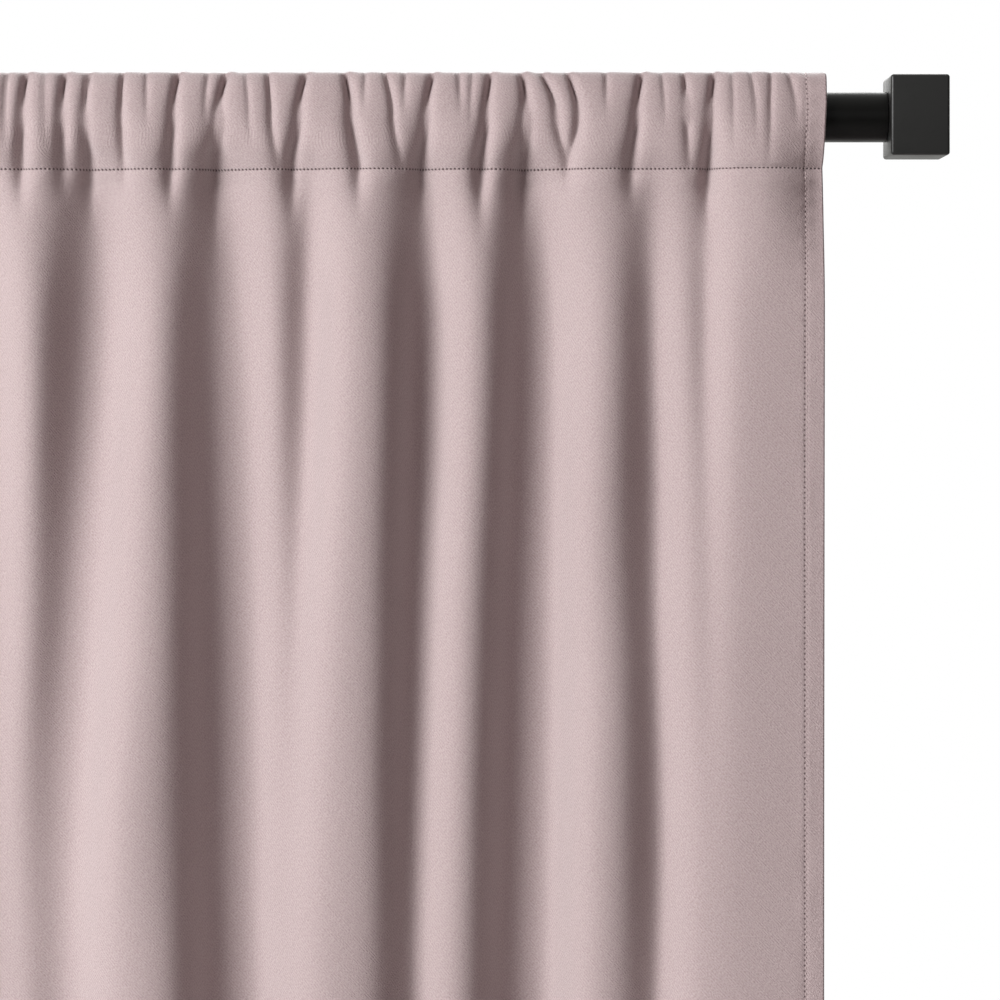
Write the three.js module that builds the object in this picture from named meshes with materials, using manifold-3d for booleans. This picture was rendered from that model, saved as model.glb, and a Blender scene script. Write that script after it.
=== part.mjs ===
// A pair of rod-pocket window curtains on a telescoping rod with square block finials and three wall brackets.
// Millimetres. +X runs along the rod to the viewer's right, -Y points into the room, +Z is up.
// The origin is the centre of the middle wall plate's back face, which lies on the wall.
import * as THREE from "three";
import { mergeVertices } from "three/addons/utils/BufferGeometryUtils.js";
import { RoundedBoxGeometry } from "three/addons/geometries/RoundedBoxGeometry.js";
import Module from "manifold-3d";

const wasm = await Module();
wasm.setup();

// ---------------------------------------------------------------- driving dimensions

const FIT = 0.3; // gap between pieces that touch, seat or slide on each other
const WALL_TO_ROD = 90; // wall plane to the rod's axis

// Rod
const OUTER_TUBE_DIAMETER = 25.4;
const TUBE_WALL = 1.2;
const TUBE_SLIDE_GAP = 0.4; // between the inner tube and the outer tube's bore
const TUBE_LENGTH = 1170; // each of the two tubes
const ROD_SHOWING = 32; // bare rod between a panel's outer edge and the finial
const COLLAR_LENGTH = 9; // tapered ring that covers the outer tube's free end
const COLLAR_TIP_WALL = 0.5;
const END_PLUG_LENGTH = 22;

// Finials
const FINIAL_LENGTH = 29.5; // along the rod
const FINIAL_SIDE = 40.5; // square across the rod
const FINIAL_EDGE_RADIUS = 1.5;
const STUD_DIAMETER = 6;
const STUD_IN_PLUG = 16;
const STUD_IN_FINIAL = 14;

// Panels
const PANEL_WIDTH = 736; // as hung, gathered on the rod
const PANEL_LENGTH = 1600; // top of the pocket to the bottom edge
const CENTRE_GAP = 14; // between the two leading edges
const GATHER_RISE = 9.7; // the gathers stand this far above the outer tube
const POCKET_DROP = 13.9; // pocket stitch line below the outer tube
const POCKET_SIDE_GAP = 1; // inside the pocket, beside a cradle
const POCKET_SIDE_WALL = 2;
const SIDE_HEM_WIDTH = 11;
const SIDE_HEM_THICKNESS = 2.4;
const BOTTOM_HEM_HEIGHT = 76;
const BOTTOM_HEM_THICKNESS = 2.4;
const CLOTH_THICKNESS = 1.2;
const FOLD_PITCH = 65; // crest to crest, before rounding to whole folds
const FOLD_RISE = 15; // crest or valley from the panel's middle plane
const FOLD_FADE = 18; // the fold flattens over this length towards a side hem
const SLIT_WIDTH = 44; // opening in the pocket's back layer for a bracket's arm
const SLIT_HEIGHT = 26;

// Brackets
const OUTER_BRACKET_INSET = 70; // from a panel's outer edge
const PLATE_WIDTH = 40;
const PLATE_HEIGHT = 54;
const PLATE_THICKNESS = 3;
const PLATE_CORNER_RADIUS = 5;
const SOCKET_LENGTH = 47; // from the plate's front face
const SOCKET_WALL = 2.7;
const ARM_SIDE = 10; // square bar
const ARM_TO_WALL = 16; // the arm's back end from the wall plane
const CRADLE_WIDTH = 12; // along the rod
const CRADLE_THICKNESS = 2.5;
const CRADLE_LIP = 2; // the cradle's ends above the rod's axis
const CRADLE_SCREW_DIAMETER = 4;
const CRADLE_SCREW_LENGTH = 14;
const GRUB_DIAMETER = 4;
const GRUB_LENGTH = 5.5;
const GRUB_BOSS_DIAMETER = 7;
const GRUB_BOSS_HEIGHT = 3.4; // below the cradle's band
const LOCK_DIAMETER = 4;
const LOCK_FROM_MOUTH = 9; // lock screw's axis behind the socket's mouth
const LOCK_BOSS_DIAMETER = 9;
const LOCK_BOSS_HEIGHT = 4;
const LOCK_KNOB_DIAMETER = 13;
const LOCK_KNOB_HEIGHT = 6;
const LOCK_KNOB_RIBS = 16;
const WALL_SCREW_DIAMETER = 4.2;
const WALL_SCREW_LENGTH = 28; // head's face to the tip
const WALL_SCREW_HEAD_DIAMETER = 8;
const WALL_SCREW_HEAD_HEIGHT = 2;
const WALL_SCREW_SPACING = 38;
const SCREW_TIP_LENGTH = 5;
const CROSS_WIDTH = 1.1; // cross recess in a screw's head
const CROSS_DEPTH = 1.2;

// Facets
const ROUND_STEPS = 72; // the visible tubes
const HIDDEN_ROUND_STEPS = 36; // pieces inside or behind them
const SMALL_ROUND_STEPS = 24;
const CORNER_STEPS = 4;
const STEPS_PER_FOLD = 8;
const CURVE_STEPS = 9;

// ---------------------------------------------------------------- derived places

const rodY = -WALL_TO_ROD;
const outerRadius = OUTER_TUBE_DIAMETER / 2;
const innerRadius = outerRadius - TUBE_WALL - TUBE_SLIDE_GAP;
const pocketTop = outerRadius + GATHER_RISE;
const stitchDrop = outerRadius + POCKET_DROP;
const cradleOutside = outerRadius + FIT + CRADLE_THICKNESS;
const pocketHalfDepth = cradleOutside + POCKET_SIDE_GAP + POCKET_SIDE_WALL;
const panelStart = CENTRE_GAP / 2;
const panelEnd = panelStart + PANEL_WIDTH;
const tubeEnd = panelEnd + ROD_SHOWING;
const bracketX = panelEnd - OUTER_BRACKET_INSET;
const clothBottom = pocketTop - PANEL_LENGTH; // from the rod's axis
const socketInside = ARM_SIDE + 2 * FIT;
const socketOutside = socketInside + 2 * SOCKET_WALL;
const socketMouth = PLATE_THICKNESS + SOCKET_LENGTH; // from the wall plane
const WIDE_CUT = 5; // how far a cutting shape runs past the face it opens

// ---------------------------------------------------------------- materials

const finishes = {
  blackPowder: { color: 0x1b1a18, roughness: 0.55, metalness: 0.6 },
  zincSteel: { color: 0x9a9b9c, roughness: 0.4, metalness: 0.9 },
  blackNylon: { color: 0x1f1f20, roughness: 0.6, metalness: 0 },
  mauveCloth: { color: 0xc7b3b4, roughness: 0.9, metalness: 0 },
};

function piece(name, geometry, finish) {
  const mesh = new THREE.Mesh(geometry, new THREE.MeshStandardMaterial(finishes[finish]));
  mesh.name = name;
  return mesh;
}

// ---------------------------------------------------------------- solid geometry helpers

// A geometry with only merged positions, as manifold-3d needs it.
function solid(geometry) {
  const bare = geometry.clone();
  bare.deleteAttribute("normal");
  bare.deleteAttribute("uv");
  const merged = mergeVertices(bare, 1e-4);
  return new wasm.Manifold(
    new wasm.Mesh({
      numProp: 3,
      vertProperties: new Float32Array(merged.getAttribute("position").array),
      triVerts: new Uint32Array(merged.index.array),
    }),
  );
}

function geometryOf(manifold) {
  const mesh = manifold.getMesh();
  const geometry = new THREE.BufferGeometry();
  geometry.setAttribute("position", new THREE.BufferAttribute(mesh.vertProperties, 3));
  geometry.setIndex(new THREE.BufferAttribute(mesh.triVerts, 1));
  geometry.computeVertexNormals();
  return geometry;
}

function cut(geometry, ...tools) {
  return geometryOf(tools.reduce((body, tool) => body.subtract(solid(tool)), solid(geometry)));
}

function join(geometry, ...others) {
  return geometryOf(others.reduce((body, other) => body.add(solid(other)), solid(geometry)));
}

function block(sizeX, sizeY, sizeZ, x = 0, y = 0, z = 0) {
  return new THREE.BoxGeometry(sizeX, sizeY, sizeZ).translate(x, y, z);
}

// Round bars from one place to another along an axis.
function rodAlongX(radius, from, to, steps = SMALL_ROUND_STEPS) {
  return new THREE.CylinderGeometry(radius, radius, to - from, steps)
    .rotateZ(-Math.PI / 2)
    .translate((from + to) / 2, 0, 0);
}

function rodAlongY(radius, from, to, steps = SMALL_ROUND_STEPS) {
  return new THREE.CylinderGeometry(radius, radius, to - from, steps).translate(0, (from + to) / 2, 0);
}

function rodAlongZ(radius, from, to, steps = SMALL_ROUND_STEPS) {
  return new THREE.CylinderGeometry(radius, radius, to - from, steps)
    .rotateX(Math.PI / 2)
    .translate(0, 0, (from + to) / 2);
}

// A solid of revolution about the X axis from [radius, x] pairs that close on themselves.
function turnedAlongX(profile, steps = ROUND_STEPS) {
  const points = profile.map(([radius, x]) => new THREE.Vector2(radius, x));
  return new THREE.LatheGeometry(points, steps).rotateZ(-Math.PI / 2);
}

function tubeAlongX(outside, inside, from, to, steps = ROUND_STEPS) {
  const profile = [
    [inside, from],
    [outside, from],
    [outside, to],
    [inside, to],
    [inside, from],
  ];
  return turnedAlongX(profile, steps);
}

// Extrudes an outline drawn in Y and Z along +X, starting at x = 0.
function extrudedAlongX(shape, length) {
  const geometry = new THREE.ExtrudeGeometry(shape, {
    depth: length,
    bevelEnabled: false,
    curveSegments: CURVE_STEPS,
  });
  const yzToWorld = new THREE.Matrix4().makeBasis(
    new THREE.Vector3(0, 1, 0),
    new THREE.Vector3(0, 0, 1),
    new THREE.Vector3(1, 0, 0),
  );
  return geometry.applyMatrix4(yzToWorld);
}

// Two crossed slots, for a screw head that faces -Y.
function crossRecess(headFace) {
  const depth = CROSS_DEPTH + WIDE_CUT;
  const length = CROSS_WIDTH * 4;
  const y = headFace + CROSS_DEPTH - depth / 2;
  const slots = [
    [length, CROSS_WIDTH],
    [CROSS_WIDTH, length],
  ];
  return slots.map(([sizeX, sizeZ]) => block(sizeX, depth, sizeZ, 0, y, 0));
}

// ---------------------------------------------------------------- wall brackets

function wallPlate() {
  const half = PLATE_WIDTH / 2;
  const tall = PLATE_HEIGHT / 2;
  const corner = PLATE_CORNER_RADIUS;
  const outline = new THREE.Shape()
    .moveTo(-half + corner, -tall)
    .lineTo(half - corner, -tall)
    .absarc(half - corner, -tall + corner, corner, -Math.PI / 2, 0)
    .lineTo(half, tall - corner)
    .absarc(half - corner, tall - corner, corner, 0, Math.PI / 2)
    .lineTo(-half + corner, tall)
    .absarc(-half + corner, tall - corner, corner, Math.PI / 2, Math.PI)
    .lineTo(-half, -tall + corner)
    .absarc(-half + corner, -tall + corner, corner, Math.PI, Math.PI * 1.5);
  const plate = new THREE.ExtrudeGeometry(outline, {
    depth: PLATE_THICKNESS,
    bevelEnabled: false,
    curveSegments: CORNER_STEPS,
  }).rotateX(Math.PI / 2);

  const rooted = SOCKET_LENGTH + PLATE_THICKNESS / 2;
  const socket = block(socketOutside, rooted, socketOutside, 0, -socketMouth + rooted / 2, 0);
  const lockY = -socketMouth + LOCK_FROM_MOUTH;
  const bossTop = -socketInside / 2 - SOCKET_WALL / 2;
  const bossBottom = -socketOutside / 2 - LOCK_BOSS_HEIGHT;
  const boss = rodAlongZ(LOCK_BOSS_DIAMETER / 2, bossBottom, bossTop).translate(0, lockY, 0);

  const bore = block(
    socketInside,
    SOCKET_LENGTH + WIDE_CUT,
    socketInside,
    0,
    -PLATE_THICKNESS - (SOCKET_LENGTH + WIDE_CUT) / 2,
    0,
  );
  const lockHole = rodAlongZ(LOCK_DIAMETER / 2 + FIT, bossBottom - WIDE_CUT, 0).translate(0, lockY, 0);
  const screwHoles = [-1, 1].flatMap((end) => {
    const z = (end * WALL_SCREW_SPACING) / 2;
    const hole = rodAlongY(WALL_SCREW_DIAMETER / 2 + FIT, -PLATE_THICKNESS - WIDE_CUT, WIDE_CUT);
    const countersink = new THREE.CylinderGeometry(
      WALL_SCREW_DIAMETER / 2 + FIT,
      WALL_SCREW_HEAD_DIAMETER / 2 + FIT,
      WALL_SCREW_HEAD_HEIGHT,
      SMALL_ROUND_STEPS,
    ).translate(0, -PLATE_THICKNESS + WALL_SCREW_HEAD_HEIGHT / 2 - FIT, 0);
    const mouth = rodAlongY(
      WALL_SCREW_HEAD_DIAMETER / 2 + FIT,
      -PLATE_THICKNESS - WIDE_CUT,
      -PLATE_THICKNESS - FIT / 2,
    );
    return [hole, countersink, mouth].map((tool) => tool.translate(0, 0, z));
  });
  return cut(join(plate, socket, boss), bore, lockHole, ...screwHoles);
}

// Countersunk screw: head flush with the plate, shank through it into the wall, pointed tip.
function wallScrew() {
  const headFace = -PLATE_THICKNESS;
  const headBack = headFace + WALL_SCREW_HEAD_HEIGHT;
  const tip = headFace + WALL_SCREW_LENGTH;
  const radius = WALL_SCREW_DIAMETER / 2;
  const profile = [
    [0, headFace],
    [WALL_SCREW_HEAD_DIAMETER / 2, headFace],
    [radius, headBack],
    [radius, tip - SCREW_TIP_LENGTH],
    [0, tip],
  ].map(([r, y]) => new THREE.Vector2(r, y));
  const body = new THREE.LatheGeometry(profile, SMALL_ROUND_STEPS);
  return cut(body, ...crossRecess(headFace));
}

// Thumb screw under the socket: threaded shank up to the arm and a ribbed knob.
function lockScrew() {
  const shankTop = -ARM_SIDE / 2 - FIT;
  const knobTop = -socketOutside / 2 - LOCK_BOSS_HEIGHT - FIT;
  const knobBottom = knobTop - LOCK_KNOB_HEIGHT;
  const shank = rodAlongZ(LOCK_DIAMETER / 2, knobTop - LOCK_KNOB_HEIGHT / 2, shankTop);
  const outline = new THREE.Shape();
  const corners = LOCK_KNOB_RIBS * 2;
  for (let i = 0; i < corners; i += 1) {
    const angle = (i / corners) * Math.PI * 2;
    const radius = LOCK_KNOB_DIAMETER / 2 - (i % 2) * 0.8;
    const x = radius * Math.cos(angle);
    const y = radius * Math.sin(angle);
    if (i === 0) outline.moveTo(x, y);
    else outline.lineTo(x, y);
  }
  const knob = new THREE.ExtrudeGeometry(outline, { depth: LOCK_KNOB_HEIGHT, bevelEnabled: false });
  return join(knob.translate(0, 0, knobBottom), shank);
}

// Square bar that slides in the socket and carries the cradle on its front end.
function arm(tubeRadius) {
  const front = rodY + tubeRadius + FIT + CRADLE_THICKNESS + FIT;
  const back = -ARM_TO_WALL;
  const bar = block(ARM_SIDE, back - front, ARM_SIDE, 0, (back + front) / 2, 0);
  const hole = rodAlongY(CRADLE_SCREW_DIAMETER / 2 + FIT, front - WIDE_CUT, front + CRADLE_SCREW_LENGTH);
  return cut(bar, hole);
}

// Half-round saddle under the tube, open at the top, with a back tab for its screw and a boss for its grub screw.
function cradle(tubeRadius) {
  const inside = tubeRadius + FIT;
  const outside = inside + CRADLE_THICKNESS;
  const lipIn = Math.asin(CRADLE_LIP / inside);
  const lipOut = Math.asin(CRADLE_LIP / outside);
  const outline = new THREE.Shape()
    .absarc(0, 0, outside, Math.PI - lipOut, lipOut, false)
    .absarc(0, 0, inside, lipIn, Math.PI - lipIn, true);
  const band = extrudedAlongX(outline, CRADLE_WIDTH).translate(-CRADLE_WIDTH / 2, 0, 0);

  // The back tab is flat against the arm and as tall as the arm.
  const tabDepth = CRADLE_THICKNESS + FIT;
  const tab = cut(
    block(CRADLE_WIDTH, tabDepth * 2, ARM_SIDE, 0, outside - tabDepth, 0),
    rodAlongX(inside + FIT, -CRADLE_WIDTH, CRADLE_WIDTH, HIDDEN_ROUND_STEPS),
  );
  const bossTop = -inside - CRADLE_THICKNESS / 2;
  const bossBottom = -outside - GRUB_BOSS_HEIGHT;
  const boss = rodAlongZ(GRUB_BOSS_DIAMETER / 2, bossBottom, bossTop);

  const grubHole = rodAlongZ(GRUB_DIAMETER / 2 + FIT, bossBottom - WIDE_CUT, 0);
  const screwHole = rodAlongY(CRADLE_SCREW_DIAMETER / 2 + FIT, 0, outside + WIDE_CUT);
  const headRoom = rodAlongY(WALL_SCREW_HEAD_DIAMETER / 2 + FIT, 0, inside + WALL_SCREW_HEAD_HEIGHT);
  return cut(join(band, tab, boss), grubHole, screwHole, headRoom);
}

// Countersunk screw from inside the cradle into the arm's end.
function cradleScrew(tubeRadius) {
  const headFace = tubeRadius + FIT + FIT;
  const profile = [
    [0, headFace],
    [WALL_SCREW_HEAD_DIAMETER / 2, headFace],
    [CRADLE_SCREW_DIAMETER / 2, headFace + WALL_SCREW_HEAD_HEIGHT - 2 * FIT],
    [CRADLE_SCREW_DIAMETER / 2, headFace + CRADLE_SCREW_LENGTH],
    [0, headFace + CRADLE_SCREW_LENGTH],
  ].map(([r, y]) => new THREE.Vector2(r, y));
  return new THREE.LatheGeometry(profile, SMALL_ROUND_STEPS);
}

// Socket set screw in the cradle's boss, its tip just under the tube.
function grubScrew(tubeRadius) {
  const top = -tubeRadius - FIT;
  const bottom = top - GRUB_LENGTH;
  const hexKey = new THREE.CylinderGeometry(1.1, 1.1, GRUB_LENGTH, 6)
    .rotateX(Math.PI / 2)
    .translate(0, 0, bottom);
  return cut(rodAlongZ(GRUB_DIAMETER / 2, bottom, top), hexKey);
}

function bracket(name, x, tubeRadius) {
  const group = new THREE.Group();
  group.position.x = x;
  group.add(piece(`${name}_wall_plate`, wallPlate(), "blackPowder"));
  for (const [place, end] of [["upper", 1], ["lower", -1]]) {
    const screw = piece(`${name}_${place}_wall_screw`, wallScrew(), "zincSteel");
    screw.position.z = (end * WALL_SCREW_SPACING) / 2;
    group.add(screw);
  }
  const lock = piece(`${name}_lock_screw`, lockScrew(), "blackPowder");
  lock.position.y = -socketMouth + LOCK_FROM_MOUTH;
  group.add(lock, piece(`${name}_arm`, arm(tubeRadius), "blackPowder"));

  const onRod = new THREE.Group();
  onRod.position.y = rodY;
  onRod.add(piece(`${name}_cradle`, cradle(tubeRadius), "blackPowder"));
  onRod.add(piece(`${name}_cradle_screw`, cradleScrew(tubeRadius), "zincSteel"));
  onRod.add(piece(`${name}_grub_screw`, grubScrew(tubeRadius), "blackPowder"));
  group.add(onRod);
  return group;
}

// ---------------------------------------------------------------- rod and finials

// Tapered ring that covers the step from the outer tube down to the inner one.
function stepCollar() {
  const end = tubeEnd - TUBE_LENGTH - FIT;
  const profile = [
    [innerRadius + FIT, end - COLLAR_LENGTH],
    [innerRadius + FIT + COLLAR_TIP_WALL, end - COLLAR_LENGTH],
    [outerRadius, end - COLLAR_LENGTH / 3],
    [outerRadius, end],
    [innerRadius + FIT, end],
    [innerRadius + FIT, end - COLLAR_LENGTH],
  ];
  return turnedAlongX(profile, HIDDEN_ROUND_STEPS);
}

// Nylon plug inside a tube's end, its face just inside the tube, with a hole for the finial's stud.
function endPlug(tubeRadius) {
  const radius = tubeRadius - TUBE_WALL - FIT;
  const face = tubeEnd - FIT;
  const bore = STUD_DIAMETER / 2 + FIT;
  return tubeAlongX(radius, bore, face - END_PLUG_LENGTH, face, HIDDEN_ROUND_STEPS);
}

function stud() {
  return rodAlongX(STUD_DIAMETER / 2, tubeEnd - STUD_IN_PLUG, tubeEnd + FIT + STUD_IN_FINIAL);
}

function finial() {
  const inner = tubeEnd + FIT;
  const body = new RoundedBoxGeometry(FINIAL_LENGTH, FINIAL_SIDE, FINIAL_SIDE, 3, FINIAL_EDGE_RADIUS);
  const hole = rodAlongX(STUD_DIAMETER / 2 + FIT, inner - WIDE_CUT, inner + STUD_IN_FINIAL + FIT);
  return cut(body.translate(inner + FINIAL_LENGTH / 2, 0, 0), hole);
}

// One end's plug, stud and finial, for the right end or mirrored for the left.
function rodEnd(side, tubeRadius) {
  const group = new THREE.Group();
  group.scale.x = side === "left" ? -1 : 1;
  group.add(piece(`${side}_end_plug`, endPlug(tubeRadius), "blackNylon"));
  group.add(piece(`${side}_finial_stud`, stud(), "zincSteel"));
  group.add(piece(`${side}_finial`, finial(), "blackPowder"));
  return group;
}

function rod() {
  const group = new THREE.Group();
  group.position.y = rodY;
  const outerTube = tubeAlongX(outerRadius, outerRadius - TUBE_WALL, tubeEnd - TUBE_LENGTH, tubeEnd);
  const innerTube = tubeAlongX(innerRadius, innerRadius - TUBE_WALL, -tubeEnd, TUBE_LENGTH - tubeEnd);
  group.add(piece("outer_tube", outerTube, "blackPowder"));
  group.add(piece("inner_tube", innerTube, "blackPowder"));
  group.add(piece("step_collar", stepCollar(), "blackNylon"));
  group.add(rodEnd("right", outerRadius), rodEnd("left", innerRadius));
  return group;
}

// ---------------------------------------------------------------- curtain panels

// The pocket's outside, round over the top and drawn together at the stitch line.
function pocketOutline(halfDepth, top, bottom, halfNeck) {
  const belly = bottom * 0.6;
  return new THREE.Shape()
    .moveTo(halfDepth, 0)
    .absellipse(0, 0, halfDepth, top, 0, Math.PI, false)
    .quadraticCurveTo(-halfDepth, belly, -halfNeck, bottom)
    .lineTo(halfNeck, bottom)
    .quadraticCurveTo(halfDepth, belly, halfDepth, 0);
}

// The space inside the pocket: it rests on the rod at the top and clears the cradle at the sides.
function pocketRoom() {
  const seat = outerRadius + FIT;
  return pocketOutline(pocketHalfDepth - POCKET_SIDE_WALL, seat, -stitchDrop + POCKET_SIDE_WALL, 0.6);
}

function pocketRing(length) {
  const neck = SIDE_HEM_THICKNESS / 2;
  const outline = pocketOutline(pocketHalfDepth, pocketTop, -stitchDrop, neck);
  outline.holes.push(new THREE.Path(pocketRoom().getPoints(CURVE_STEPS)));
  return extrudedAlongX(outline, length);
}

// Gathered tube of cloth around the rod, with a slit in its back layer for the outer bracket's arm.
function rodPocket(from, to) {
  const slit = block(SLIT_WIDTH, pocketHalfDepth, SLIT_HEIGHT, bracketX, pocketHalfDepth, 0);
  return cut(pocketRing(to - from).translate(from, 0, 0), slit);
}

// Folded side hem down the panel's edge, from the stitch line to the bottom.
function sideHem(from) {
  const top = -stitchDrop - FIT;
  const x = from + SIDE_HEM_WIDTH / 2;
  return block(SIDE_HEM_WIDTH, SIDE_HEM_THICKNESS, top - clothBottom, x, 0, (top + clothBottom) / 2);
}

// The same hem where it runs round the rod pocket's end.
function pocketEnd(from) {
  return pocketRing(SIDE_HEM_WIDTH).translate(from, 0, 0);
}

// Middle line of the folded cloth between the side hems, seen from above.
function foldLine(from, to) {
  const length = to - from;
  const folds = Math.max(1, Math.round(length / FOLD_PITCH));
  const steps = folds * STEPS_PER_FOLD;
  const points = [];
  for (let i = 0; i <= steps; i += 1) {
    const along = (i / steps) * length;
    const edge = Math.min(1, along / FOLD_FADE, (length - along) / FOLD_FADE);
    const ease = edge * edge * (3 - 2 * edge);
    const y = FOLD_RISE * ease * Math.sin((2 * Math.PI * folds * along) / length);
    points.push(new THREE.Vector2(from + along, y));
  }
  return points;
}

// A strip of even thickness along the fold line, standing from one height to another.
function foldedStrip(from, to, thickness, bottom, top) {
  const line = foldLine(from, to);
  const last = line.length - 1;
  const normals = line.map((point, i) => {
    if (i === 0 || i === last) return new THREE.Vector2(0, 1); // the ends are square to the side hems
    const ahead = line[i + 1].clone().sub(line[i - 1]).normalize();
    return new THREE.Vector2(-ahead.y, ahead.x);
  });
  const offset = (amount) => line.map((point, i) => point.clone().addScaledVector(normals[i], amount));
  const outline = new THREE.Shape([...offset(-thickness / 2), ...offset(thickness / 2).reverse()]);
  return new THREE.ExtrudeGeometry(outline, { depth: top - bottom, bevelEnabled: false }).translate(
    0,
    0,
    bottom,
  );
}

// A whole panel to the right of the middle, or mirrored to the left.
function panel(side) {
  const group = new THREE.Group();
  group.position.y = rodY;
  group.scale.x = side === "left" ? -1 : 1;
  const from = panelStart + SIDE_HEM_WIDTH + FIT;
  const to = panelEnd - SIDE_HEM_WIDTH - FIT;
  const hemTop = clothBottom + BOTTOM_HEM_HEIGHT;
  const cloth = foldedStrip(from, to, CLOTH_THICKNESS, hemTop + FIT, -stitchDrop - FIT);
  const bottomHem = foldedStrip(from, to, BOTTOM_HEM_THICKNESS, clothBottom, hemTop);
  group.add(piece(`${side}_cloth`, cloth, "mauveCloth"));
  group.add(piece(`${side}_rod_pocket`, rodPocket(from, to), "mauveCloth"));
  group.add(piece(`${side}_bottom_hem`, bottomHem, "mauveCloth"));
  for (const [edge, start] of [["leading", panelStart], ["outer", panelEnd - SIDE_HEM_WIDTH]]) {
    group.add(piece(`${side}_${edge}_hem`, sideHem(start), "mauveCloth"));
    group.add(piece(`${side}_${edge}_pocket_end`, pocketEnd(start), "mauveCloth"));
  }
  return group;
}

// ---------------------------------------------------------------- the whole set

const curtains = new THREE.Group();
curtains.add(bracket("left", -bracketX, innerRadius));
curtains.add(bracket("centre", 0, outerRadius));
curtains.add(bracket("right", bracketX, outerRadius));
curtains.add(rod());
curtains.add(panel("left"), panel("right"));

export default curtains;
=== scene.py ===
"""Looks of a pair of rod-pocket curtains on a telescoping rod with block finials.

Metres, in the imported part's own frame: +X along the rod, -Y into the room, +Z up.
Each panel is one sheet of cloth. Its rows follow the cloth from the back of the rod pocket, over the rod,
down the front and up into the bottom hem. Its columns follow it from one side hem to the other.
"""

import math

import bmesh
import bpy
import numpy as np
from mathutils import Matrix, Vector


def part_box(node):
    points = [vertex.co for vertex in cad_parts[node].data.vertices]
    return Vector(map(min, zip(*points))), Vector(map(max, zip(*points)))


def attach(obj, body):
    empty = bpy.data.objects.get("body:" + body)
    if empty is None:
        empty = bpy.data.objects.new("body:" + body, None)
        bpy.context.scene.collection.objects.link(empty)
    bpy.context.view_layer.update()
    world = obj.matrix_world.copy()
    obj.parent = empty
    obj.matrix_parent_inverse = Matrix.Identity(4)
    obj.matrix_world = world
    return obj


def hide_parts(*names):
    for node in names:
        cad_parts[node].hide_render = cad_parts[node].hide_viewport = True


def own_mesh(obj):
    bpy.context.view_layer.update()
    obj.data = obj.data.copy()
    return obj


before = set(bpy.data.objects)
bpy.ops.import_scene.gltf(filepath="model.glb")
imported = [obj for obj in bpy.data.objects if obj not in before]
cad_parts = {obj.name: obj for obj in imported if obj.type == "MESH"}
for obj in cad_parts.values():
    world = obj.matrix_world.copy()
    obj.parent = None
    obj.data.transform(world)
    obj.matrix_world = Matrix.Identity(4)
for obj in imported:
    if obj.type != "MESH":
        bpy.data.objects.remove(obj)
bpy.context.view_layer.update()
MM = 0.001

# ---------------------------------------------------------------- places taken from the frame

ROD_LOW, ROD_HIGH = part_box("outer_tube")
ROD_Y = (ROD_LOW.y + ROD_HIGH.y) / 2
ROD_Z = (ROD_LOW.z + ROD_HIGH.z) / 2
ROD_RADIUS = (ROD_HIGH.z - ROD_LOW.z) / 2
OUTER_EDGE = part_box("right_outer_hem")[1].x
LEADING_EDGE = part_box("right_leading_hem")[0].x
SIDE_HEM = OUTER_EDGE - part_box("right_outer_hem")[0].x
POCKET_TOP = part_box("right_rod_pocket")[1].z
STITCH_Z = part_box("right_rod_pocket")[0].z
BOTTOM_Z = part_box("right_bottom_hem")[0].z
HEM_TOP_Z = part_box("right_bottom_hem")[1].z
BRACKET_X = (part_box("right_cradle")[0].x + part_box("right_cradle")[1].x) / 2
CRADLE_FRONT = ROD_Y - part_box("right_cradle")[0].y
CRADLE_HALF = (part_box("right_cradle")[1].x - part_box("right_cradle")[0].x) / 2

# ---------------------------------------------------------------- cloth sizes

PANEL_WIDTH = OUTER_EDGE - LEADING_EDGE
FLAT_WIDTH = 0.914  # the width of one panel laid flat, between the folds of its side hems
FOLD_FULLNESS = 1.38  # of the hanging rows, before their deepest folds are held in
POCKET_FULLNESS = 1.24  # the same, of the pocket's rows
CLOTH = 0.75 * MM  # thickness
HEM_STEP = 0.95 * MM  # a hem's turned layer behind the layer in front of it
POCKET_DEPTH = 14.8 * MM  # rod axis to the cloth in front of and behind the rod
POCKET_CROWN = POCKET_TOP - ROD_Z - 1.6 * MM  # rod axis to the cloth over the rod, before the gathers
STITCH_FORWARD = 9.0 * MM  # the pocket's stitch line in front of the rod's axis
LAYER_GAP = 1.25 * MM  # between the pocket's two layers at its stitch line
SEAM_ALLOWANCE = 2.0 * MM  # of the back layer below the stitch line
SLIT_HALF = 22.0 * MM  # opening in the back layer for a bracket's arm, along the rod
SLIT_UP = 13.0 * MM  # the same, above and below the rod's axis
POCKET_PITCH = 2.2 * MM  # stitches
HEM_PITCH = 2.6 * MM
SIDE_STITCH = 9.6 * MM  # side hem's stitches from the panel's edge
BOTTOM_STITCH = 3.0 * MM  # bottom hem's stitches below the hem's top edge
# One stitch of thread, as rings: place along it in pitches, height over the cloth and radius in millimetres.
BEAD = [(-0.28, -0.26, 0.12), (-0.19, 0.06, 0.23), (0.0, 0.14, 0.27), (0.19, 0.06, 0.23), (0.28, -0.26, 0.12)]
ANCHOR = BRACKET_X - SLIT_HALF  # from here to its outer edge a panel stays put when it is drawn

# ---------------------------------------------------------------- rod, finial and floor sizes

TUBE_WALL = 1.2 * MM
BURR = 0.25 * MM  # taken off the tubes' ends
FINIAL_EDGE = 1.5 * MM  # radius of the finial's rounded edges
BORE_ROOM = 0.15 * MM  # round the stud in the finial's bore
BORE_CHAMFER = 0.4 * MM
FLOOR_GAP = 12 * MM  # the curtains hang clear of the floor
FLOOR_HALF = 2.9

# ---------------------------------------------------------------- how the cloth is gathered

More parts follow.
